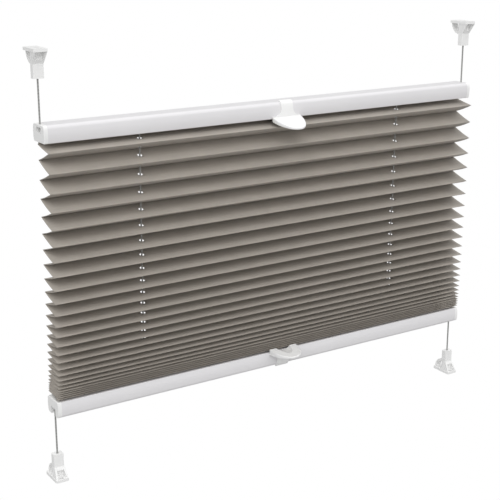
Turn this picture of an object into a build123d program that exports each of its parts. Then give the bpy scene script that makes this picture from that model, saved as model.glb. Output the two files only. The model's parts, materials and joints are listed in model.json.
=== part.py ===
from build123d import *
import math
import os

# Tensioned pleated blind: two movable rails with a pleated cloth between them, two taut cords and four shoes.
# X runs along the rails, Y from the room side to the window side, Z up. The pieces are drawn about the cords'
# plane, and are moved at the end so that the origin is midway between the upper shoes' screw holes, level with
# the faces that meet the window frame.

# ---- driving dimensions, in millimetres -----------------------------------------------------------------
RAIL_LENGTH = 400.0  # over both end caps
RAIL_DEPTH = 20.0
RAIL_HEIGHT = 13.0
RAIL_WALL = 1.2
RAIL_CROWN_RADIUS = 22.0  # the room-side and window-side faces are slightly rounded out
OUTER_EDGE_RADIUS = 3.0  # long edges away from the cloth
CLOTH_EDGE_RADIUS = 0.8  # long edges beside the cloth
SLOT_WIDTH = 9.0  # the opening that the cloth goes in by
LEDGE_REACH = 1.6  # ribs that the clamp strip rests on
LEDGE_THICKNESS = 0.9
STRIP_SIDE_GAP = 0.3  # between a clamp strip's long edges and the profile

CLOTH_GAP = 195.5  # between the two rails
CLOTH_WIDTH = 398.0
CLOTH_THICKNESS = 0.3
PLEAT_DEPTH = 20.0  # one strip of cloth from fold to fold
PLEAT_COUNT = 26  # folds on the room side
OPEN_PLEATS = 21.1  # pleats from the top down to where the stack lies closed
CLOSED_PITCH = 1.6  # height of one closed pleat
CLOTH_LEAN = 4.5  # how far the uppermost pleats hang towards the room
CLOTH_HOLE = 3.0  # cord holes in the pleats
FIRST_FOLD = 6.0  # uppermost room-side fold below the upper rail
LAST_FOLD = 2.5  # lowest room-side fold above the lower rail
TAB_END = 7.3  # the cloth's end tabs reach this far across a rail's inside
TAB_TURN = 1.2
SLOT_PASS = 3.2  # where the cloth leaves the slot

CORD_DIAMETER = 1.2
CORD_RUN = 32.0  # free cord between a shoe and its rail
CORD_BEND = 2.0
COLUMN_INSET = 77.5  # from a rail's end to where its cord goes through the cloth
COLUMN_CLEARANCE = 0.5  # between the cord through the cloth and the upper rail's lip on the room side
KNOT_DIAMETER = 2.4

CAP_THICKNESS = 3.0
CAP_PLUG = 12.0
CAP_BRIDGE = 2.0  # above the window of an upper cap; a lower cap's window is open to its outer side
CAP_WINDOW_WIDTH = 8.0
CAP_WINDOW_HEIGHT = 4.0
CAP_CORD_HOLE = 1.9
CAP_CHAMFER = 0.35
FIT_GAP = 0.12

GUIDE_BARREL = 3.6  # eyelets in the clamp strips
GUIDE_FLANGE = 5.6
GUIDE_FLANGE_THICKNESS = 0.8
GUIDE_BORE = 1.8
GUIDE_MOUTH_RADIUS = 0.5

SHOE_HEIGHT = 21.0
SHOE_PLATE_WIDTH = 10.5
SHOE_PLATE_FRONT = 8.5  # from the cord to the plate's room-side edge
SHOE_PLATE_BACK = 12.0  # and to its window-side edge
SHOE_PLATE_THICKNESS = 2.2
SHOE_BLOCK_WIDTH = 8.0
SHOE_BLOCK_DEPTH = 5.6
SHOE_WEB = 1.2
SHOE_HOOD_HEIGHT = 8.6
SHOE_EAR_WIDTH = 6.0
SHOE_EAR_THICKNESS = 1.2
SCREW_HOLE = 3.2
SCREW_INSET = 5.7  # from the cord to the screw hole, towards the room

HANDLE_STRAP_WIDTH = 11.0
HANDLE_STRAP_THICKNESS = 1.3
HANDLE_HOOK = 3.0  # round the rail's outer edge
HANDLE_WIDTH = 26.5
HANDLE_REACH = 19.0  # of the tongue, from the rail's face
HANDLE_RIM_ROUND = 0.8
HANDLE_FLARE = 6.5  # radius between the strap and the wings
# a tongue's near and far faces, at the rail and at its rim, measured from the rail's cloth-side edge
TOP_TONGUE_ROOT = (-1.8, 2.4)
TOP_TONGUE_RIM = (4.9, 6.7)
BOTTOM_TONGUE_ROOT = (-2.0, 3.0)
BOTTOM_TONGUE_RIM = (-1.5, 0.3)
HORN_GAP = 14.0  # the dip between the lower tongue's two horns
TROUGH_REACH = 12.0
TOP_HANDLE_X = 4.5  # where the handles are clipped on
BOTTOM_HANDLE_X = 2.5
HORN_CLEARANCE = 0.4  # from the horns to the rail's face and the closed pleats

SPRING_LENGTH = 26.0
SPRING_RADIUS = 1.9  # of the wire's centre line
SPRING_WIRE = 0.5
SPRING_PITCH = 1.3
CORD_SPREAD = 2.6  # the two cords pass each other this far from the middle, inside the lower rail

# ---- levels ---------------------------------------------------------------------------------------------
TOP_OUTER = -(SHOE_HEIGHT + CORD_RUN)  # upper rail's top
TOP_INNER = TOP_OUTER - RAIL_HEIGHT
BOTTOM_INNER = TOP_INNER - CLOTH_GAP  # lower rail's top
BOTTOM_OUTER = BOTTOM_INNER - RAIL_HEIGHT
BOTTOM_PLANE = BOTTOM_OUTER - CORD_RUN - SHOE_HEIGHT

PROFILE_LENGTH = RAIL_LENGTH - 2 * CAP_THICKNESS
CORD_X = RAIL_LENGTH / 2 - CAP_THICKNESS / 2  # where the outer cords run
COLUMN_X = RAIL_LENGTH / 2 - COLUMN_INSET
# the upper rail's eyelets stand this far from the middle, towards the room
COLUMN_SET = SLOT_WIDTH / 2 - CORD_DIAMETER / 2 - COLUMN_CLEARANCE
CORD_LEVEL = CAP_BRIDGE + CAP_WINDOW_HEIGHT / 2  # inside a rail, above its outer face
LIP = RAIL_WALL
STRIP_TOP = RAIL_HEIGHT - LIP - CLOTH_THICKNESS  # clamp strip's face under the cloth's tab
STRIP_THICKNESS = 2.4
LEDGE_TOP = STRIP_TOP - STRIP_THICKNESS
CAVITY_WIDTH = RAIL_DEPTH - 2 * RAIL_WALL


def place_bottom(shape):
    """A piece drawn for the lower rail, whose outer face is at Z 0."""
    return Pos(0, 0, BOTTOM_OUTER) * shape


def place_top(shape):
    """The same piece turned over for the upper rail, window side still at the window."""
    return Pos(0, 0, TOP_OUTER) * Rot(0, 180, 0) * shape


def crowned(inset, edge_radius, cloth_edge_radius):
    """A rail's section in Y and Z, outer face at Z 0, or the same section moved in by an inset."""
    tall = RAIL_HEIGHT - 2 * inset
    section = Pos(0, RAIL_HEIGHT / 2) * Rectangle(RAIL_DEPTH, tall)
    centre = RAIL_CROWN_RADIUS - RAIL_DEPTH / 2
    for side in (-1, 1):
        section &= Pos(side * centre, RAIL_HEIGHT / 2) * Circle(RAIL_CROWN_RADIUS - inset)
    section = fillet(section.vertices().group_by(Axis.Y)[0], edge_radius)
    if cloth_edge_radius:
        section = fillet(section.vertices().group_by(Axis.Y)[-1], cloth_edge_radius)
    return section


def outline():
    """A rail's outside."""
    return crowned(0, OUTER_EDGE_RADIUS, CLOTH_EDGE_RADIUS)


def cavity(gap=0.0):
    """The hollow of a rail, or what fits in it with a gap all round."""
    return crowned(RAIL_WALL + gap, OUTER_EDGE_RADIUS - RAIL_WALL, 0)


def rail():
    """Extruded aluminium profile: a box open along its cloth side, with two ribs inside."""
    slot = Pos(0, RAIL_HEIGHT - LIP / 2) * Rectangle(SLOT_WIDTH, LIP + 0.2)
    section = outline() - cavity() - slot
    for side in (-1, 1):
        ledge = Rectangle(LEDGE_REACH + 0.4, LEDGE_THICKNESS)
        middle = side * (CAVITY_WIDTH / 2 - LEDGE_REACH / 2 + 0.2)
        section += Pos(middle, LEDGE_TOP - LEDGE_THICKNESS / 2) * ledge
    return extrude(Plane.YZ * section, amount=PROFILE_LENGTH / 2, both=True)


def cavity_half_width(level):
    """From the middle to the hollow's crowned side, at a level above the rail's outer face."""
    rise = level - RAIL_HEIGHT / 2
    reach = math.sqrt((RAIL_CROWN_RADIUS - RAIL_WALL) ** 2 - rise**2)
    return reach - (RAIL_CROWN_RADIUS - RAIL_DEPTH / 2)


def clamp_strip(set_off):
    """Flat strip that holds the cloth's end tab up against the profile's lips, with a hole at each column."""
    width = 2 * (cavity_half_width(STRIP_TOP) - STRIP_SIDE_GAP)
    centre = LEDGE_TOP + STRIP_THICKNESS / 2
    strip = Pos(0, 0, centre) * Box(PROFILE_LENGTH - 2 * CAP_PLUG, width, STRIP_THICKNESS)
    for side in (-1, 1):
        hole = Cylinder(GUIDE_BARREL / 2, STRIP_THICKNESS + 1)
        strip -= Pos(side * COLUMN_X, -set_off, centre) * hole
    return strip


def guide(side, set_off):
    """Flanged eyelet in the clamp strip that turns the cord into the cloth."""
    barrel = Cylinder(GUIDE_BARREL / 2, STRIP_THICKNESS, align=(Align.CENTER, Align.CENTER, Align.MIN))
    flange = Cylinder(
        GUIDE_FLANGE / 2, GUIDE_FLANGE_THICKNESS, align=(Align.CENTER, Align.CENTER, Align.MAX)
    )
    body = barrel + flange
    body -= Cylinder(GUIDE_BORE / 2, 4 * STRIP_THICKNESS)
    mouth = body.edges().filter_by(GeomType.CIRCLE).group_by(Axis.Z)[0]
    inner = mouth.sort_by(SortBy.RADIUS)[0]
    body = fillet(inner, GUIDE_MOUTH_RADIUS)
    return Pos(side * COLUMN_X, -set_off, LEDGE_TOP) * body


def end_cap(side, open_window):
    """Moulded cap: a flange as large as the profile with a cord window, and a plug inside the profile."""
    start = side * PROFILE_LENGTH / 2
    flange = extrude(Plane.YZ * outline(), amount=CAP_THICKNESS)
    far = flange.faces().sort_by(Axis.X)[-1].edges()
    flange = chamfer(far, CAP_CHAMFER)
    plug_top = LEDGE_TOP - LEDGE_THICKNESS - FIT_GAP
    below = Pos(0, plug_top / 2) * Rectangle(RAIL_DEPTH, plug_top)
    plug = Pos(0.5, 0, 0) * extrude(Plane.YZ * (cavity(FIT_GAP) & below), amount=-(CAP_PLUG + 0.5))
    plug = chamfer(plug.faces().sort_by(Axis.X)[0].edges(), CAP_CHAMFER)
    cap = flange + plug
    if open_window:
        window_tall = CAP_BRIDGE + CAP_WINDOW_HEIGHT
        window_middle = window_tall / 2 - 0.5
        window_tall += 1
    else:
        window_tall = CAP_WINDOW_HEIGHT
        window_middle = CAP_BRIDGE + window_tall / 2
    window = Box(CAP_THICKNESS + 1.4, CAP_WINDOW_WIDTH, window_tall)
    cap -= Pos(CAP_THICKNESS / 2, 0, window_middle) * window
    cap -= Pos(CAP_THICKNESS / 2, 0, CAP_BRIDGE / 2) * Cylinder(CAP_CORD_HOLE / 2, CAP_BRIDGE + 1)
    tunnel = Rot(0, 90, 0) * Cylinder(CAP_CORD_HOLE / 2 + 0.3, 2 * CAP_PLUG + 2)
    cap -= Pos(0, 0, CORD_LEVEL) * tunnel
    if side < 0:
        cap = Rot(0, 0, 180) * cap
    return Pos(start, 0, 0) * cap


def handle(root, rim, horned):
    """Clip-on handle: a strap that hooks round the profile, two wings and a half-oval tongue to push or pull."""
    face = -RAIL_DEPTH / 2
    thick = HANDLE_STRAP_THICKNESS
    near_root, far_root = (RAIL_HEIGHT + level for level in root)
    near_rim, far_rim = (RAIL_HEIGHT + level for level in rim)
    strap_end = RAIL_HEIGHT - CLOTH_EDGE_RADIUS
    band = offset(outline(), amount=thick) - outline()
    hooked = Pos(face - thick + (HANDLE_HOOK + thick) / 2, strap_end / 2 - thick / 2) * Rectangle(
        HANDLE_HOOK + thick, strap_end + thick
    )
    clip = extrude(Plane.YZ * (band & hooked), amount=HANDLE_WIDTH, both=True)
    # seen from the room: the strap, and two wings with a concave round on each side
    plan = Pos(0, strap_end / 2 - thick) * Rectangle(HANDLE_STRAP_WIDTH, strap_end + 4 * thick)
    wings_low = near_root - HANDLE_FLARE
    wings = Pos(0, near_root) * Rectangle(HANDLE_WIDTH, 2 * HANDLE_FLARE)
    for side in (-1, 1):
        middle = side * (HANDLE_STRAP_WIDTH / 2 + HANDLE_FLARE)
        wings -= Pos(middle, wings_low) * Circle(HANDLE_FLARE)
        beyond = HANDLE_WIDTH / 2 - HANDLE_STRAP_WIDTH / 2 - HANDLE_FLARE
        wings -= Pos(middle + side * beyond / 2, wings_low + HANDLE_FLARE / 2) * Rectangle(
            beyond, HANDLE_FLARE
        )
    front = Pos(0, face, 0) * extrude(Plane.XZ * (plan + wings), amount=RAIL_DEPTH / 2, both=True)
    clip &= front
    # the tongue thins from its root to its rim
    outer = face - HANDLE_REACH
    side_view = Polyline(
        (face, near_root), (face, far_root), (outer, far_rim), (outer, near_rim), close=True
    )
    ribbon = extrude(Plane.YZ * make_face(side_view), amount=HANDLE_WIDTH, both=True)
    oval = Pos(0, face) * Ellipse(HANDLE_WIDTH / 2, HANDLE_REACH)
    tongue = ribbon & extrude(oval, amount=3 * RAIL_HEIGHT)
    rims = tongue.edges().sort_by(SortBy.LENGTH)[-2:]
    tongue = fillet(rims, HANDLE_RIM_ROUND)
    body = clip + tongue
    if horned:
        # a trough between the horns, fading out along the tongue
        depth = far_root - RAIL_HEIGHT
        radius = ((HORN_GAP / 2) ** 2 + depth**2) / (2 * depth)
        level_there = far_root + (far_rim - far_root) * TROUGH_REACH / HANDLE_REACH
        rise = math.degrees(math.atan2(level_there - RAIL_HEIGHT, TROUGH_REACH))
        trough = Rot(90 - rise, 0, 0) * Cylinder(radius, 4 * HANDLE_REACH)
        body -= Pos(0, face, RAIL_HEIGHT + radius) * trough
        stack_reach = max(RAIL_DEPTH, PLEAT_DEPTH) / 2 + HORN_CLEARANCE
        relief = Pos(0, 0, RAIL_HEIGHT + depth) * Box(2 * HANDLE_WIDTH, 2 * stack_reach, 2 * depth)
        body -= relief
    return body


def slab_between(upper, lower):
    """A tapering block between two level rectangles, each given as width, front, back and level."""
    faces = []
    for width, front, back, level in (upper, lower):
        flat = Pos(0, (front + back) / 2) * Rectangle(width, back - front)
        faces.append(Plane.XY.offset(level) * flat)
    return loft(faces)


def shoe():
    """Tension shoe, drawn for the top: its plate meets the frame at Z 0 and its block hangs below."""
    plate_middle = (SHOE_PLATE_BACK - SHOE_PLATE_FRONT) / 2
    plate = Pos(0, plate_middle, -SHOE_PLATE_THICKNESS / 2) * Box(
        SHOE_PLATE_WIDTH, SHOE_PLATE_FRONT + SHOE_PLATE_BACK, SHOE_PLATE_THICKNESS
    )
    plate = fillet(plate.edges().filter_by(Axis.Z), 1.2)
    block = Pos(0, 0, -SHOE_HEIGHT / 2 - 0.5) * Box(
        SHOE_BLOCK_WIDTH, SHOE_BLOCK_DEPTH, SHOE_HEIGHT - 1
    )
    block = fillet(block.edges().filter_by(Axis.Z), 0.8)
    # a flared hood in front of the block carries the plate; the screw stands in its open recess
    front = -SHOE_PLATE_FRONT + 0.3
    hood_top = -SHOE_PLATE_THICKNESS + 0.2
    hood_foot = hood_top - SHOE_HOOD_HEIGHT
    hood = slab_between(
        (SHOE_PLATE_WIDTH - 0.5, front, 0, hood_top),
        (SHOE_BLOCK_WIDTH, -SHOE_BLOCK_DEPTH / 2, 0, hood_foot),
    )
    recess = slab_between(
        (SHOE_PLATE_WIDTH - 0.5 - 2 * SHOE_WEB, front - 2, -SHOE_BLOCK_DEPTH / 2 + 0.4, hood_top + 0.1),
        (SHOE_BLOCK_WIDTH - 2 * SHOE_WEB, front - 2, -SHOE_BLOCK_DEPTH / 2 + 0.4, hood_foot + 2.4),
    )
    # a curved ear joins the block's back to the plate's window-side edge
    ear_outer = SHOE_PLATE_BACK - SHOE_BLOCK_DEPTH / 2 + 0.6
    ear_centre = SHOE_BLOCK_DEPTH / 2 - 0.6
    ring = Circle(ear_outer) - Circle(ear_outer - SHOE_EAR_THICKNESS)
    quarter = Pos(ear_outer, -ear_outer) * Rectangle(2 * ear_outer, 2 * ear_outer)
    ear_line = Pos(ear_centre, -SHOE_PLATE_THICKNESS + 0.3) * (ring & quarter)
    ear = extrude(Plane.YZ * ear_line, amount=SHOE_EAR_WIDTH / 2, both=True)
    body = plate + block + (hood - recess) + ear
    # cord hole from below, knot pocket from above, screw hole through the plate
    body -= Pos(0, 0, -SHOE_HEIGHT / 2) * Cylinder(CORD_DIAMETER / 2 + 0.3, SHOE_HEIGHT + 2)
    pocket = Cylinder(
        KNOT_DIAMETER / 2 + 0.4, SHOE_HEIGHT * 0.45, align=(Align.CENTER, Align.CENTER, Align.MAX)
    )
    body -= pocket
    body -= Pos(0, -SCREW_INSET, 0) * Cylinder(SCREW_HOLE / 2, 3 * SHOE_PLATE_THICKNESS)
    return body


def pitches():
    """Heights from one room-side fold to the next: widest at the top, evenly closing down to the stack."""
    total = CLOTH_GAP - FIRST_FOLD - LAST_FOLD
    count = PLEAT_COUNT - 1
    shares = [max(0.0, 1 - i / OPEN_PLEATS) for i in range(count)]
    spare = total - count * CLOSED_PITCH
    return [CLOSED_PITCH + spare * share / sum(shares) for share in shares]


def folds():
    """The cloth's centre line in Y and Z, from its upper tab to its lower tab."""
    tab = LIP + CLOTH_THICKNESS / 2
    line = [(-TAB_END, TOP_INNER + tab), (TAB_TURN, TOP_INNER + tab), (SLOT_PASS, TOP_INNER - 0.5)]
    level = TOP_INNER - FIRST_FOLD
    steps = pitches()
    first_half = math.sqrt(PLEAT_DEPTH**2 - (steps[0] / 2) ** 2) / 2
    line.append((first_half - CLOTH_LEAN, TOP_INNER - 2.2))
    for i in range(PLEAT_COUNT):
        lean = CLOTH_LEAN * (1 - i / (PLEAT_COUNT - 1))
        step = steps[min(i, PLEAT_COUNT - 2)]
        half = math.sqrt(PLEAT_DEPTH**2 - (step / 2) ** 2) / 2
        line.append((-half - lean, level))
        if i < PLEAT_COUNT - 1:
            line.append((half - lean, level - step / 2))
            level -= step
    line.append((-SLOT_PASS, BOTTOM_INNER + 0.5))
    line.append((-TAB_TURN, BOTTOM_INNER - tab))
    line.append((TAB_END, BOTTOM_INNER - tab))
    return line


def crossing(a, b, c, d):
    """Where line a-b meets line c-d."""
    p, q = b[0] - a[0], b[1] - a[1]
    r, s = d[0] - c[0], d[1] - c[1]
    t = ((c[0] - a[0]) * s - (c[1] - a[1]) * r) / (p * s - q * r)
    return (a[0] + t * p, a[1] + t * q)


def cloth_outline():
    """Closed outline of the folded sheet's section, going down one side and back up the other."""
    line = folds()
    half = CLOTH_THICKNESS / 2
    down, up = [], []
    heading = 1  # the strip being followed runs towards the window (1) or the room (-1)
    down.append((line[0][0], line[0][1] - half))
    up.append((line[0][0], line[0][1] + half))
    for i in range(1, len(line) - 1):
        y, z = line[i]
        after = line[i + 1]
        next_heading = 1 if after[0] > y else -1
        if next_heading == heading:
            lower, upper = (y, z - half), (y, z + half)
            (down if heading == 1 else up).append(lower)
            (up if heading == 1 else down).append(upper)
            continue
        lower_line = [(line[i - 1][0], line[i - 1][1] - half), (y, z - half)]
        upper_line = [(y, z + half), (after[0], after[1] + half)]
        inner = crossing(*lower_line, *upper_line)
        inside, outside = (down, up) if heading == 1 else (up, down)
        outside += [(y, z + half), (y, z - half)]
        inside.append(inner)
        heading = next_heading
    end = line[-1]
    down_end = (end[0], end[1] - half)
    up_end = (end[0], end[1] + half)
    if heading == 1:
        down.append(down_end)
        up.append(up_end)
    else:
        down.append(up_end)
        up.append(down_end)
    return down + up[::-1]


def fabric():
    """The pleated cloth: one folded sheet, its ends held in the rails, with a cord hole in every strip."""
    section = make_face(Polyline(*cloth_outline(), close=True))
    sheet = extrude(Plane.YZ * section, amount=CLOTH_WIDTH / 2, both=True)
    run = CLOTH_GAP + 2 * RAIL_HEIGHT - 2 * CORD_LEVEL
    middle = (TOP_INNER + BOTTOM_INNER) / 2
    slant = math.degrees(math.atan2(COLUMN_SET, run))
    inside = RAIL_HEIGHT + 0.1
    for side in (-1, 1):
        holes = Rot(slant, 0, 0) * Cylinder(CLOTH_HOLE / 2, run)
        sheet -= Pos(side * COLUMN_X, -COLUMN_SET / 2, middle) * holes
        # the tabs stop short of the end caps
        corner = Box(2 * CAP_THICKNESS, 2 * RAIL_DEPTH, inside)
        across = side * (PROFILE_LENGTH / 2 - 1 + CAP_THICKNESS)
        sheet -= Pos(across, 0, TOP_INNER + inside / 2 - 0.1) * corner
        sheet -= Pos(across, 0, BOTTOM_INNER - inside / 2 + 0.1) * corner
    return sheet


def swept(points):
    """A round cord along rounded corners, from the first point to the last."""
    path = FilletPolyline(*points, radius=CORD_BEND)
    start = Plane(origin=path @ 0, z_dir=path % 0)
    return sweep(start * Circle(CORD_DIAMETER / 2), path=path)


def knot(point):
    return Pos(*point) * Sphere(KNOT_DIAMETER / 2)


def upper_cord(side):
    """From an upper shoe, into the upper rail, down through the cloth and along the lower rail to its spring."""
    spread = side * CORD_SPREAD
    top = TOP_OUTER - CORD_LEVEL
    bottom = BOTTOM_OUTER + CORD_LEVEL
    start = (side * CORD_X, 0, -SHOE_HEIGHT * 0.3)
    spring_end = side * SPRING_LENGTH / 2
    end = (spring_end - side * 2.5, spread, bottom)
    points = [
        start,
        (side * CORD_X, 0, top),
        (side * (COLUMN_X + 50), 0, top),
        (side * (COLUMN_X + 20), -COLUMN_SET, top),
        (side * COLUMN_X, -COLUMN_SET, top),
        (side * COLUMN_X, 0, bottom),
        (side * (COLUMN_X - 8), 0, bottom),
        (side * (COLUMN_X - 30), spread, bottom),
        end,
    ]
    return swept(points) + knot(start) + knot(end)


def lower_cord(side):
    """From the spring across the lower rail to its other end, and down to a lower shoe."""
    spread = side * CORD_SPREAD
    level = BOTTOM_OUTER + CORD_LEVEL
    start = (-side * (SPRING_LENGTH / 2 - 2.5), spread, level)
    foot = (-side * CORD_X, 0, BOTTOM_PLANE + SHOE_HEIGHT * 0.3)
    inside = PROFILE_LENGTH / 2 - CAP_PLUG
    points = [
        start,
        (-side * (inside - 30), spread, level),
        (-side * (inside - 8), 0, level),
        (-side * CORD_X, 0, level),
        foot,
    ]
    return swept(points) + knot(start) + knot(foot)


def spring(side):
    """Tension spring between the two halves of one cord."""
    coil = Helix(pitch=SPRING_PITCH, height=SPRING_LENGTH, radius=SPRING_RADIUS)
    start = Plane(origin=coil @ 0, z_dir=coil % 0)
    wire = sweep(start * Circle(SPRING_WIRE / 2), path=coil, is_frenet=True)
    turned = Rot(0, 90, 0) * Pos(0, 0, -SPRING_LENGTH / 2) * wire
    return Pos(0, side * CORD_SPREAD, BOTTOM_OUTER + CORD_LEVEL) * turned


os.makedirs("parts", exist_ok=True)

pieces = {
    "top_rail": place_top(rail()),
    "bottom_rail": place_bottom(rail()),
    "clamp_strip_top": place_top(clamp_strip(COLUMN_SET)),
    "clamp_strip_bottom": place_bottom(clamp_strip(0)),
    "handle_top": place_top(Pos(-TOP_HANDLE_X, 0, 0) * handle(TOP_TONGUE_ROOT, TOP_TONGUE_RIM, False)),
    "handle_bottom": place_bottom(
        Pos(BOTTOM_HANDLE_X, 0, 0) * handle(BOTTOM_TONGUE_ROOT, BOTTOM_TONGUE_RIM, True)
    ),
    "pleated_cloth": fabric(),
}
for name, side in (("left", -1), ("right", 1)):
    pieces["end_cap_top_" + name] = place_top(end_cap(-side, False))
    pieces["end_cap_bottom_" + name] = place_bottom(end_cap(side, True))
    pieces["cord_guide_top_" + name] = place_top(guide(-side, COLUMN_SET))
    pieces["cord_guide_bottom_" + name] = place_bottom(guide(side, 0))
    pieces["shoe_top_" + name] = Pos(side * CORD_X, 0, 0) * shoe()
    pieces["shoe_bottom_" + name] = Pos(side * CORD_X, 0, BOTTOM_PLANE) * Rot(0, 180, 0) * shoe()
    pieces["cord_upper_" + name] = upper_cord(side)
    pieces["cord_lower_" + name] = lower_cord(-side)
    pieces["spring_" + name] = spring(side)

for name, shape in pieces.items():
    export_step(Pos(0, SCREW_INSET, 0) * shape, "parts/" + name + ".step")
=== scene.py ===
import json
import math

import bpy
import numpy as np
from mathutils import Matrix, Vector


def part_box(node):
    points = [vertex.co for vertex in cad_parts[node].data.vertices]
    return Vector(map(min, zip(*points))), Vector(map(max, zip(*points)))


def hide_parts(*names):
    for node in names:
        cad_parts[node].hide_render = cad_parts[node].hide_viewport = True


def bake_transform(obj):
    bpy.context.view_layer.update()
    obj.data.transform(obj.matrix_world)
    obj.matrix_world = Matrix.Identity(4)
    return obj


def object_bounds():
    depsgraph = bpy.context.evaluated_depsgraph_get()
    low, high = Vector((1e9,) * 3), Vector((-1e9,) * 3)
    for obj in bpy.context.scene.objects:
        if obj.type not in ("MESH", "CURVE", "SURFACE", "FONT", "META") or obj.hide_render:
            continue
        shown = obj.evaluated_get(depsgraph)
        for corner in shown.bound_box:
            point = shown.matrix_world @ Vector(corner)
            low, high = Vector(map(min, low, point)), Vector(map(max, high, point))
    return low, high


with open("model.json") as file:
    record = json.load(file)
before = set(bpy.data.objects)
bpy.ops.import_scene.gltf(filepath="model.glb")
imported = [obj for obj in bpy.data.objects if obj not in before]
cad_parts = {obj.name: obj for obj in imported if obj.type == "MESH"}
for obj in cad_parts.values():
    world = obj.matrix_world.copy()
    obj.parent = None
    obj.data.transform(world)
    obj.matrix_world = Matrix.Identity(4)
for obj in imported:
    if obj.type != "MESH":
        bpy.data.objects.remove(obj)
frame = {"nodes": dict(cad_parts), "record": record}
cad_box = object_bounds()
nodes = frame["nodes"]

# Pleated blind, in metres. X runs along the rails, Y from the room to the window, Z up.

# ---- the cloth's own sizes ------------------------------------------------------------------------------
PLEAT_DEPTH = 0.020  # one strip from fold to fold
PLEAT_COUNT = 26  # folds on the room side
OPEN_PLEATS = 21.1  # pleats from the top down to where the stack lies closed
CLOSED_PITCH = 0.0016  # height of one closed pleat
CLOTH_LEAN = 0.0045  # how far the uppermost pleats hang towards the room
CLOTH_THICKNESS = 0.0003
FIRST_FOLD = 0.006  # uppermost room-side fold below the upper rail
LAST_FOLD = 0.0025  # lowest room-side fold above the lower rail
BACK_FOLD = 0.0022  # uppermost window-side fold below the upper rail
TAB_LEVEL = 0.00135  # the end tabs lie this far inside a rail
TAB_END = 0.0073  # from the cord plane to a tab's free edge
TAB_TURN = 0.0012  # from the cord plane to where a tab turns out of the rail
TAB_SIDE_GAP = 0.0015  # the tabs stop short of the end caps
SLOT_PASS = 0.0032  # from the cord plane to where the cloth leaves a rail's slot
SLOT_LIP = 0.0005  # and from the rail's face, outwards
STRIP_SAG = 0.03  # of a pleat's height

# ---- the cloth's mesh -----------------------------------------------------------------------------------
HOLE_RADIUS = 0.0019
HOLE_PATCH = 0.0034  # half a side of the square of mesh round a hole
HOLE_CELLS = 4  # cells along each side of that square
FOLD_MARGIN = 0.95  # the square reaches at most this share of the way from a hole's middle to a fold
HOLE_MARGIN = 0.85  # and a hole's edge at most this share of the way to the square's
COLUMNS_INSIDE = 4  # columns of cells from the blind's middle to the holes' squares
COLUMNS_OUTSIDE = 3  # and from there to the side edge
ROWS_BESIDE = (0.33, 0.67)  # mesh lines between a fold and a hole's square
SAME_PLACE = 1e-6  # points nearer than this are one point

# ---- levels and places, from the frame ------------------------------------------------------------------
top_low, top_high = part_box("top_rail")
bottom_low, bottom_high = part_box("bottom_rail")
cloth_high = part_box("pleated_cloth")[1]
guide_low, guide_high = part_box("cord_guide_top_right")
shoe_low, shoe_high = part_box("shoe_top_right")
TOP_INNER = top_low.z
BOTTOM_INNER = bottom_high.z
CORD_Y = (top_low.y + top_high.y) / 2
COLUMN_TOP_Y = (guide_low.y + guide_high.y) / 2
COLUMN_X = (guide_low.x + guide_high.x) / 2
CORD_X = (shoe_low.x + shoe_high.x) / 2
HALF_WIDTH = cloth_high.x
TAB_HALF_WIDTH = top_high.x - TAB_SIDE_GAP

# ---- the cords' sizes -----------------------------------------------------------------------------------
CORD_DIAMETER = 0.0013
CORD_DEPTH = 0.004  # inside a rail, from its outer face
KNOT_DEPTH = 0.0063  # inside a shoe
CORD_SPREAD = 0.0026  # the cords pass each other this far from the middle, in the lower rail
BEND = 0.0022  # control points stand this far from a turn
SPRING_END = 0.0105  # from the blind's middle to where a cord meets its spring
CROSSING = (0.008, 0.030)  # this far inward of its column a cord goes over to its side of the lower rail
FAR_CROSSING = (0.042, 0.020)  # and this far from the lower rail's other end it comes back to the middle
SET_OFF = (0.050, 0.020)  # this far outward of its column it goes over to the column's side of the upper rail
LEVEL_TOP = top_high.z - CORD_DEPTH  # of the cords in the upper rail
LEVEL_BOTTOM = bottom_low.z + CORD_DEPTH  # and in the lower rail

# ---- colours and light ----------------------------------------------------------------------------------
CLOTH_DARK = (0.380, 0.346, 0.305)
CLOTH_LIGHT = (0.500, 0.460, 0.412)
CLOTH_CONTRAST = (0.3, 0.8)  # tones at which the cloth is darkest and lightest
THREAD_SCALE = 480  # of the waves that make the weave
SLUB_SCALE = (35, 1500, 1)  # uneven weft threads: long across the blind, thin from fold to fold
MOTTLE_SCALE = 55  # broad uneven tone
BRAID_SCALE = 260  # of the waves that make the cord's yarns
FLOOR_LEVEL = -0.75
FLOOR_SIZE = 30.0
FLOOR_GREY = (0.42, 0.42, 0.42)
SKY = 1.15
HORIZON = 0.85
SKY_FROM = 0.8  # Z of the direction from which the light has its full strength
BEHIND = 0.5  # the window side's share of the light, as in a room with its lights on
BEHIND_FADE = (0.1, 0.9)  # Y of the directions between which it falls to that share
LAMP_SIZE = (1.4, 1.0)
LAMP_ENERGY = 8.0
LAMP_PLACE = (-0.8, -1.3, 1.25)
LAMP_AIM = (0, 0, -0.16)
CAMERA_PLACE = (-0.4980, -0.7310, 0.0839)
CAMERA_DOWN = 16.32  # degrees below level
CAMERA_RIGHT = 32.79  # degrees right of straight at the window
CAMERA_LENS = 81.03
CAMERA_SENSOR = 36.0


def column_y(level):
    """Where the cord through the cloth stands at a level: it slants a little from eyelet to eyelet."""
    return CORD_Y + (COLUMN_TOP_Y - CORD_Y) * (level - LEVEL_BOTTOM) / (LEVEL_TOP - LEVEL_BOTTOM)


def link(name, data):
    """A new object of the scene."""
    obj = bpy.data.objects.new(name, data)
    bpy.context.scene.collection.objects.link(obj)
    return obj


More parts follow.
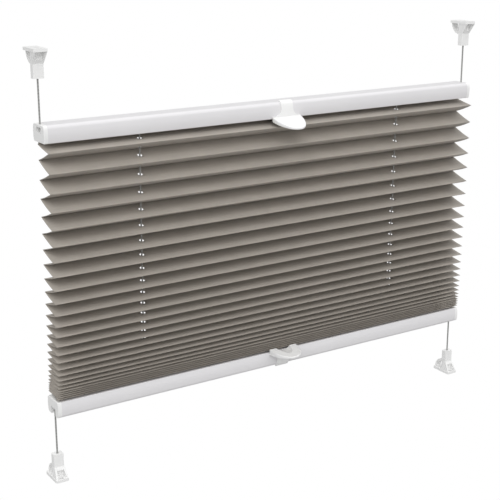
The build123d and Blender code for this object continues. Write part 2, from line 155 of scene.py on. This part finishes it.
# ---- materials ------------------------------------------------------------------------------------------
class Nodes:
    """Short calls for building a material's node tree."""

    def __init__(self, name):
        self.material = bpy.data.materials.new(name)
        self.material.use_nodes = True
        self.tree = self.material.node_tree
        self.shader = self.tree.nodes["Principled BSDF"]

    def add(self, kind, **values):
        """A new node. Each value is one of its properties or, failing that, an input."""
        node = self.tree.nodes.new(kind)
        for key, value in values.items():
            if hasattr(node, key):
                setattr(node, key, value)
            else:
                node.inputs[key.replace("_", " ")].default_value = value
        return node

    def join(self, output, target):
        self.tree.links.new(output, target)

    def coordinates(self, kind, scale):
        source = self.add("ShaderNodeTexCoord")
        mapping = self.add("ShaderNodeMapping")
        mapping.inputs["Scale"].default_value = scale
        self.join(source.outputs[kind], mapping.inputs["Vector"])
        return mapping.outputs["Vector"]

    def noise(self, vector, scale, detail=2.0):
        node = self.add("ShaderNodeTexNoise", Scale=scale, Detail=detail)
        self.join(vector, node.inputs["Vector"])
        return node.outputs["Fac"]

    def wave(self, vector, scale, direction, distortion=0.0):
        node = self.add("ShaderNodeTexWave", Scale=scale, Distortion=distortion)
        node.bands_direction = direction
        self.join(vector, node.inputs["Vector"])
        return node.outputs["Fac"]

    def math(self, operation, first, second):
        node = self.add("ShaderNodeMath", operation=operation)
        for index, value in enumerate((first, second)):
            if isinstance(value, (int, float)):
                node.inputs[index].default_value = value
            else:
                self.join(value, node.inputs[index])
        return node.outputs[0]

    def blend(self, factor, low, high):
        """A colour between two, by a factor from 0 to 1."""
        ramp = self.add("ShaderNodeValToRGB")
        ramp.color_ramp.elements[0].color = (*low, 1)
        ramp.color_ramp.elements[1].color = (*high, 1)
        self.join(factor, ramp.inputs["Fac"])
        self.join(ramp.outputs["Color"], self.shader.inputs["Base Color"])
        return ramp

    def between(self, factor, low, high, socket):
        span = self.add("ShaderNodeMapRange")
        span.inputs["To Min"].default_value = low
        span.inputs["To Max"].default_value = high
        self.join(factor, span.inputs["Value"])
        self.join(span.outputs["Result"], self.shader.inputs[socket])

    def bump(self, height, distance, strength=1.0):
        node = self.add("ShaderNodeBump", Distance=distance, Strength=strength)
        self.join(height, node.inputs["Height"])
        self.join(node.outputs["Normal"], self.shader.inputs["Normal"])


def mottled(name, grain, colours, roughness, peel, peel_detail, height, strength):
    """A finish that varies a little: its grain sets colour and roughness, and a finer one the bumps."""
    m = Nodes(name)
    where = m.coordinates("Object", (1, 1, 1))
    broad = m.noise(where, grain)
    m.blend(broad, *colours)
    m.between(broad, *roughness, "Roughness")
    m.bump(m.noise(where, peel, peel_detail), height, strength)
    return m


def lacquer():
    """White powder coat: a very fine orange peel."""
    m = mottled(
        "rail_lacquer",
        grain=60,
        colours=((0.79, 0.78, 0.794), (0.82, 0.81, 0.824)),
        roughness=(0.26, 0.33),
        peel=1400,
        peel_detail=3,
        height=0.00002,
        strength=0.5,
    )
    return m.material


def white_plastic():
    """Moulded polycarbonate: smooth, with a faint flow pattern."""
    m = mottled(
        "white_plastic",
        grain=90,
        colours=((0.90, 0.90, 0.895), (0.93, 0.93, 0.925)),
        roughness=(0.26, 0.34),
        peel=2600,
        peel_detail=2,
        height=0.00001,
        strength=0.4,
    )
    return m.material


def inner_plastic():
    """Plastic of the pieces inside the rails: duller and darker."""
    m = mottled(
        "inner_plastic",
        grain=120,
        colours=((0.70, 0.70, 0.69), (0.78, 0.78, 0.77)),
        roughness=(0.45, 0.6),
        peel=1800,
        peel_detail=2,
        height=0.00002,
        strength=0.5,
    )
    return m.material


def spring_steel():
    """Drawn wire: its fine grain shows in colour, gloss and bumps alike."""
    m = mottled(
        "spring_steel",
        grain=900,
        colours=((0.50, 0.50, 0.51), (0.66, 0.66, 0.67)),
        roughness=(0.22, 0.4),
        peel=900,
        peel_detail=2,
        height=0.00001,
        strength=0.4,
    )
    m.shader.inputs["Metallic"].default_value = 1.0
    return m.material


def cord_yarn():
    """Braided grey cord: two sets of yarns crossing on the slant."""
    m = Nodes("cord")
    one = m.wave(m.coordinates("Object", (1, 1, 1)), BRAID_SCALE, "DIAGONAL")
    two = m.wave(m.coordinates("Object", (-1, -1, 1)), BRAID_SCALE, "DIAGONAL")
    braid = m.math("MAXIMUM", one, two)
    m.blend(braid, (0.22, 0.22, 0.215), (0.36, 0.36, 0.35))
    m.shader.inputs["Roughness"].default_value = 0.8
    m.bump(braid, distance=0.00006, strength=0.8)
    return m.material


def cloth_weave():
    """Taupe polyester: plain weave with uneven weft threads, and a soft sheen."""
    m = Nodes("cloth")
    flat = m.coordinates("UV", (1, 1, 1))
    weft = m.wave(flat, THREAD_SCALE, "Y", distortion=0.6)
    warp = m.wave(flat, THREAD_SCALE, "X", distortion=0.6)
    weave = m.math("MULTIPLY", m.math("MAXIMUM", weft, warp), 0.5)
    slub = m.noise(m.coordinates("UV", SLUB_SCALE), 1.0, detail=3)
    mottle = m.noise(flat, MOTTLE_SCALE, detail=4)
    tone = m.math("ADD", m.math("MULTIPLY", slub, 0.55), m.math("MULTIPLY", mottle, 0.45))
    tone = m.math("ADD", m.math("MULTIPLY", tone, 0.8), m.math("MULTIPLY", weave, 0.3))
    ramp = m.blend(tone, CLOTH_DARK, CLOTH_LIGHT)
    for stop, position in zip(ramp.color_ramp.elements, CLOTH_CONTRAST):
        stop.position = position
    m.shader.inputs["Roughness"].default_value = 0.85
    m.shader.inputs["Sheen Weight"].default_value = 0.12
    m.shader.inputs["Sheen Roughness"].default_value = 0.5
    m.shader.inputs["Specular IOR Level"].default_value = 0.25
    height = m.math("ADD", m.math("MULTIPLY", slub, 0.5), weave)
    m.bump(height, distance=0.00008, strength=0.6)
    return m.material


# ---- the pleated cloth ----------------------------------------------------------------------------------
def pitches():
    """Heights from one room-side fold to the next: widest at the top, evenly closing down to the stack."""
    total = TOP_INNER - BOTTOM_INNER - FIRST_FOLD - LAST_FOLD
    count = PLEAT_COUNT - 1
    shares = [max(0.0, 1 - i / OPEN_PLEATS) for i in range(count)]
    spare = total - count * CLOSED_PITCH
    return [CLOSED_PITCH + spare * share / sum(shares) for share in shares]


def half_depth(pitch):
    """Half the depth of a pleat that is open by a pitch."""
    return math.sqrt(PLEAT_DEPTH**2 - (pitch / 2) ** 2) / 2


def fold_line():
    """The cloth's line from tab to tab: Y, Z, and the share of its spare height that lies above the point."""
    steps = pitches()
    spares = [step - CLOSED_PITCH for step in steps]
    whole = sum(spares)
    line = [
        (-TAB_END, TOP_INNER + TAB_LEVEL, 0.0),
        (TAB_TURN, TOP_INNER + TAB_LEVEL, 0.0),
        (SLOT_PASS, TOP_INNER - SLOT_LIP, 0.0),
        (half_depth(steps[0]) - CLOTH_LEAN, TOP_INNER - BACK_FOLD, 0.0),
    ]
    level = TOP_INNER - FIRST_FOLD
    used = 0.0
    for i in range(PLEAT_COUNT):
        lean = CLOTH_LEAN * (1 - i / (PLEAT_COUNT - 1))
        step = steps[min(i, PLEAT_COUNT - 2)]
        line.append((-half_depth(step) - lean, level, used))
        if i < PLEAT_COUNT - 1:
            line.append((half_depth(step) - lean, level - step / 2, used + spares[i] / 2))
            level -= step
            used += spares[i]
    line += [
        (-SLOT_PASS, BOTTOM_INNER + SLOT_LIP, whole),
        (-TAB_TURN, BOTTOM_INNER - TAB_LEVEL, whole),
        (TAB_END, BOTTOM_INNER - TAB_LEVEL, whole),
    ]
    return [(CORD_Y + y, z, spare / whole) for y, z, spare in line]


def hole_lines(middle, half):
    """Mesh lines through a hole's square, from one side of it to the other."""
    steps = HOLE_CELLS // 2
    return [middle + k * half / steps for k in range(-steps, steps + 1)]


def columns(half_width):
    """X of the mesh lines across the cloth: close together round each cord hole."""
    near = hole_lines(COLUMN_X, HOLE_PATCH)
    inner = [near[0] * k / COLUMNS_INSIDE for k in range(COLUMNS_INSIDE)]
    outer = [near[-1] + (half_width - near[-1]) * (k + 1) / COLUMNS_OUTSIDE for k in range(COLUMNS_OUTSIDE)]
    right = inner + near + outer
    return [-x for x in reversed(right) if x > 0] + right


def rows(start, end, run):
    """Shares of a strip at which its mesh has a line, and its hole's first line, middle and radius.

    A strip whose cords pass too near to a fold, or beside it, has no hole.
    """
    middle = (column_y((start[1] + end[1]) / 2) - start[0]) / (end[0] - start[0])
    patch = min(HOLE_PATCH, FOLD_MARGIN * run * min(middle, 1 - middle))
    if patch < CORD_DIAMETER / 2:
        return [0.0, 0.5, 1.0], None
    near = hole_lines(middle, patch / run)
    before = [0.0] + [near[0] * share for share in ROWS_BESIDE]
    after = [near[-1] + (1 - near[-1]) * share for share in (*ROWS_BESIDE, 1.0)]
    return before + near + after, (len(before), middle, min(HOLE_RADIUS, HOLE_MARGIN * patch))


class Strip:
    """One strip of the cloth from fold to fold, where its mesh has lines, and the length laid before it."""

    def __init__(self, start, end, laid):
        self.start = start
        self.end = end
        self.laid = laid
        self.run = math.hypot(end[0] - start[0], end[1] - start[1])
        self.shares, self.hole = rows(start, end, self.run)
        in_rail = max(start[1], end[1]) > TOP_INNER or min(start[1], end[1]) < BOTTOM_INNER
        self.across = columns(TAB_HALF_WIDTH if in_rail else HALF_WIDTH)
        self.sag = STRIP_SAG * abs(end[1] - start[1]) * 2  # a pleat is two strips high

    def at(self, x, share):
        """The point at a share of the way from fold to fold, its place on the flat cloth, and its weight."""
        y, z, weight = (a + (b - a) * share for a, b in zip(self.start, self.end))
        bow = 4 * share * (1 - share)  # 0 at the folds, 1 halfway
        return (x, y, z - self.sag * bow), (x, self.laid + self.run * share), weight


class Sheet:
    """The cloth's mesh, made strip by strip, with round cord holes."""

    def __init__(self):
        self.points = []
        self.flat = []
        self.weights = []
        self.faces = []
        self.folds = []
        self.length = 0.0
        self.last_row = None

    def place(self, strip, x, share):
        """Adds a point of a strip and returns its number."""
        point, flat, weight = strip.at(x, share)
        self.points.append(point)
        self.flat.append(flat)
        self.weights.append(weight)
        return len(self.points) - 1

    def first_row(self, strip):
        """The strip before ends in the same points, unless one of the two is narrower, in a rail."""
        if self.last_row and abs(self.points[self.last_row[0]][0] - strip.across[0]) < SAME_PLACE:
            self.folds.append(self.last_row)
            return self.last_row
        return [self.place(strip, x, 0.0) for x in strip.across]

    def cut_hole(self, strip, grid, x_middle):
        """Faces from a hole's edge to the square of mesh round it. Returns the cells that they take up."""
        row, middle, radius = strip.hole
        nearest = min(range(len(strip.across)), key=lambda k: abs(strip.across[k] - x_middle))
        column = nearest - HOLE_CELLS // 2
        side = range(HOLE_CELLS)
        square = [(row, column + k) for k in side]
        square += [(row + k, column + HOLE_CELLS) for k in side]
        square += [(row + HOLE_CELLS, column + HOLE_CELLS - k) for k in side]
        square += [(row + HOLE_CELLS - k, column) for k in side]
        edge = []
        for i, j in square:
            angle = math.atan2((strip.shares[i] - middle) * strip.run, strip.across[j] - x_middle)
            share = middle + radius * math.sin(angle) / strip.run
            edge.append(self.place(strip, x_middle + radius * math.cos(angle), share))
        corners = [grid[i][j] for i, j in square]
        for k in range(len(square)):
            after = (k + 1) % len(square)
            self.faces.append((corners[k], corners[after], edge[after], edge[k]))
        return {(row + i, column + j) for i in side for j in side}

    def add(self, start, end):
        """Adds the strip between two folds."""
        strip = Strip(start, end, self.length)
        grid = [self.first_row(strip)]
        for share in strip.shares[1:]:
            grid.append([self.place(strip, x, share) for x in strip.across])
        taken = set()
        if strip.hole:
            for side in (-1, 1):
                taken |= self.cut_hole(strip, grid, side * COLUMN_X)
        for i in range(len(grid) - 1):
            for j in range(len(strip.across) - 1):
                if (i, j) not in taken:
                    self.faces.append((grid[i][j], grid[i][j + 1], grid[i + 1][j + 1], grid[i + 1][j]))
        self.length += strip.run
        self.last_row = grid[-1]

    def mesh(self, name):
        """The Blender mesh: smooth, with its folds marked sharp, and its flat layout as UV."""
        mesh = bpy.data.meshes.new(name)
        mesh.from_pydata(self.points, [], self.faces)
        mesh.polygons.foreach_set("use_smooth", [True] * len(mesh.polygons))
        folded = {frozenset(pair) for fold in self.folds for pair in zip(fold, fold[1:])}
        for edge in mesh.edges:
            if frozenset(edge.vertices) in folded:
                edge.use_edge_sharp = True
        layer = mesh.uv_layers.new(name="flat")
        for loop in mesh.loops:
            layer.data[loop.index].uv = self.flat[loop.vertex_index]
        return mesh


def cloth(material):
    """Two stretches of one sheet, one ending in each rail; the weights of their points are worked out but not
    used. Returns the level of the fold where they meet.
    """
    line = fold_line()
    split = min(range(len(line)), key=lambda k: abs(line[k][2] - 0.5))
    middle = line[split][2]
    for name, stretch, rail, share in (
        ("cloth_upper", line[: split + 1], "upper", lambda w: 1 - w / middle),
        ("cloth_lower", line[split:], "lower", lambda w: (w - middle) / (1 - middle)),
    ):
        sheet = Sheet()
        for start, end in zip(stretch, stretch[1:]):
            sheet.add(start, end)
        mesh = sheet.mesh(name)
        obj = link(name, mesh)
        mesh.materials.append(material)
        thick = obj.modifiers.new("thickness", "SOLIDIFY")
        thick.thickness = CLOTH_THICKNESS
        thick.offset = 0
        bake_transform(obj)
        [share(w) for w in sheet.weights]
        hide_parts("pleated_cloth")
    return line[split][1]


# ---- cords ----------------------------------------------------------------------------------------------
def turn(corner, before, after):
    """Three control points that take the cord round a corner."""
    corner = Vector(corner)
    to_before = (Vector(before) - corner).normalized() * BEND
    to_after = (Vector(after) - corner).normalized() * BEND
    return [corner + to_before, corner, corner + to_after]


def cord(name, route, material):
    """A mesh tube along the smooth line through a route's straight runs and turns."""
    control = [Vector(route[0])]
    for before, corner, after in zip(route, route[1:], route[2:]):
        control += turn(corner, before, after)
    control.append(Vector(route[-1]))
    curve = bpy.data.curves.new(name, "CURVE")
    curve.dimensions = "3D"
    spline = curve.splines.new("NURBS")
    spline.points.add(len(control) - 1)
    for point, place in zip(spline.points, control):
        point.co = (*place, 1)
    spline.order_u = 3
    spline.use_endpoint_u = True
    spline.resolution_u = 8
    curve.bevel_depth = CORD_DIAMETER / 2
    curve.bevel_resolution = 3
    curve.use_fill_caps = True
    shape = link(name + "_line", curve)
    mesh = bpy.data.meshes.new_from_object(shape.evaluated_get(bpy.context.evaluated_depsgraph_get()))
    bpy.data.objects.remove(shape)
    mesh.name = name
    mesh.materials.clear()
    mesh.materials.append(material)
    mesh.polygons.foreach_set("use_smooth", [True] * len(mesh.polygons))
    return link(name, mesh)


def share_between(value, zero, one):
    """0 up to the value zero, 1 from the value one, and evenly rising between them."""
    return min(1.0, max(0.0, (value - zero) / (one - zero)))


def blended_cord(name, route, node, material, weight):
    """A run of cord that stands in for a CAD node and hides it; the weights of its points are worked out but
    not used.
    """
    obj = cord(name, route, material)
    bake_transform(obj)
    [weight(v.co) for v in obj.data.vertices]
    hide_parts(node)


def cords(material, split_level):
    """Each cord in three runs: upper shoe to the fold that stays, on to its spring, and to a lower shoe."""
    knot_top = shoe_high.z - KNOT_DEPTH
    knot_bottom = cad_box[0].z + KNOT_DEPTH

    def high_weight(p):
        """Rises down the free end, is 1 in the rail, and falls down through the cloth."""
        if abs(p.x) > CORD_X - BEND:
            return share_between(p.z, knot_top, top_high.z)
        if abs(p.x) < COLUMN_X + BEND:
            return share_between(p.z, split_level, TOP_INNER)
        return 1.0

    def low_weight(p):
        return share_between(p.z, split_level, BOTTOM_INNER)

    def far_weight(p):
        return share_between(p.z, knot_bottom, bottom_low.z)

    for side, label, other in ((-1, "left", "right"), (1, "right", "left")):
        spread = CORD_Y + side * CORD_SPREAD
        high = [
            (side * CORD_X, CORD_Y, knot_top),
            (side * CORD_X, CORD_Y, LEVEL_TOP),
            (side * (COLUMN_X + SET_OFF[0]), CORD_Y, LEVEL_TOP),
            (side * (COLUMN_X + SET_OFF[1]), COLUMN_TOP_Y, LEVEL_TOP),
            (side * COLUMN_X, COLUMN_TOP_Y, LEVEL_TOP),
            (side * COLUMN_X, column_y(split_level), split_level),
        ]
        low = [
            (side * COLUMN_X, column_y(split_level), split_level),
            (side * COLUMN_X, CORD_Y, LEVEL_BOTTOM),
            (side * (COLUMN_X - CROSSING[0]), CORD_Y, LEVEL_BOTTOM),
            (side * (COLUMN_X - CROSSING[1]), spread, LEVEL_BOTTOM),
            (side * SPRING_END, spread, LEVEL_BOTTOM),
        ]
        far = [
            (-side * SPRING_END, spread, LEVEL_BOTTOM),
            (-side * (top_high.x - FAR_CROSSING[0]), spread, LEVEL_BOTTOM),
            (-side * (top_high.x - FAR_CROSSING[1]), CORD_Y, LEVEL_BOTTOM),
            (-side * CORD_X, CORD_Y, LEVEL_BOTTOM),
            (-side * CORD_X, CORD_Y, knot_bottom),
        ]
        blended_cord("cord_high_" + label, high, "cord_upper_" + label, material, high_weight)
        blended_cord("cord_low_" + label, low, "cord_upper_" + label, material, low_weight)
        blended_cord("cord_far_" + other, far, "cord_lower_" + other, material, far_weight)


# ---- finishes of the carried-over pieces ----------------------------------------------------------------
def finish_nodes():
    """Gives each CAD node the material of its slot. Returns the materials by slot."""
    made = {
        "rail_lacquer": lacquer(),
        "white_plastic": white_plastic(),
        "inner_plastic": inner_plastic(),
        "spring_steel": spring_steel(),
        "cord": cord_yarn(),
        "cloth": cloth_weave(),
    }
    for part in frame["record"]["subparts"]:
        data = nodes[part["node"]].data
        data.materials.clear()
        data.materials.append(made[part["material_slot"]])
    return made


# ---- studio ---------------------------------------------------------------------------------------------
def seen_white(tree, lit, output):
    """The camera sees plain white; every other ray meets the real finish."""
    white = tree.nodes.new("ShaderNodeEmission")
    path = tree.nodes.new("ShaderNodeLightPath")
    mix = tree.nodes.new("ShaderNodeMixShader")
    tree.links.new(path.outputs["Is Camera Ray"], mix.inputs[0])
    tree.links.new(lit, mix.inputs[1])
    tree.links.new(white.outputs[0], mix.inputs[2])
    tree.links.new(mix.outputs[0], output.inputs["Surface"])


def fade(tree, value, start, end, before, after):
    """A number that changes from before to after while the value goes from start to end."""
    span = tree.nodes.new("ShaderNodeMapRange")
    for name, number in (("From Min", start), ("From Max", end), ("To Min", before), ("To Max", after)):
        span.inputs[name].default_value = number
    tree.links.new(value, span.inputs["Value"])
    return span.outputs["Result"]


def sky():
    """Soft white light from all round, strongest from above and weaker from the window's side."""
    world = bpy.data.worlds.new("studio")
    bpy.context.scene.world = world
    world.use_nodes = True
    tree = world.node_tree
    background = tree.nodes["Background"]
    background.inputs["Color"].default_value = (1, 1, 1, 1)
    where = tree.nodes.new("ShaderNodeTexCoord")
    axes = tree.nodes.new("ShaderNodeSeparateXYZ")
    tree.links.new(where.outputs["Generated"], axes.inputs[0])
    upward = fade(tree, axes.outputs["Z"], 0.0, SKY_FROM, HORIZON, SKY)
    windowward = fade(tree, axes.outputs["Y"], *BEHIND_FADE, 1.0, BEHIND)
    both = tree.nodes.new("ShaderNodeMath")
    both.operation = "MULTIPLY"
    tree.links.new(upward, both.inputs[0])
    tree.links.new(windowward, both.inputs[1])
    tree.links.new(both.outputs[0], background.inputs["Strength"])
    seen_white(tree, background.outputs[0], tree.nodes["World Output"])


def wide_floor():
    """A wide plain floor well below the blind."""
    mesh = bpy.data.meshes.new("floor")
    reach = FLOOR_SIZE / 2
    corners = [(-reach, -reach), (reach, -reach), (reach, reach), (-reach, reach)]
    mesh.from_pydata([(x, y, FLOOR_LEVEL) for x, y in corners], [], [(0, 1, 2, 3)])
    floor = link("floor", mesh)
    material = bpy.data.materials.new("floor")
    material.use_nodes = True
    tree = material.node_tree
    shader = tree.nodes["Principled BSDF"]
    shader.inputs["Base Color"].default_value = (*FLOOR_GREY, 1)
    shader.inputs["Roughness"].default_value = 0.9
    seen_white(tree, shader.outputs[0], tree.nodes["Material Output"])
    mesh.materials.append(material)


def softbox():
    """A large lamp behind and above the camera."""
    light = bpy.data.lights.new("softbox", "AREA")
    light.shape = "RECTANGLE"
    light.size, light.size_y = LAMP_SIZE
    light.energy = LAMP_ENERGY
    lamp = link("softbox", light)
    lamp.location = LAMP_PLACE
    aim = Vector(LAMP_AIM) - lamp.location
    lamp.rotation_euler = aim.to_track_quat("-Z", "Y").to_euler()


def camera():
    data = bpy.data.cameras.new("camera")
    data.lens = CAMERA_LENS
    data.sensor_width = CAMERA_SENSOR
    data.clip_start = 0.01
    cam = link("camera", data)
    cam.location = CAMERA_PLACE
    cam.rotation_euler = (math.radians(90 - CAMERA_DOWN), 0, math.radians(-CAMERA_RIGHT))
    bpy.context.scene.camera = cam


camera()
sky()
wide_floor()
softbox()
bpy.context.scene.view_settings.view_transform = "Standard"
finishes = finish_nodes()
split_level = cloth(finishes["cloth"])
cords(finishes["cord"], split_level)
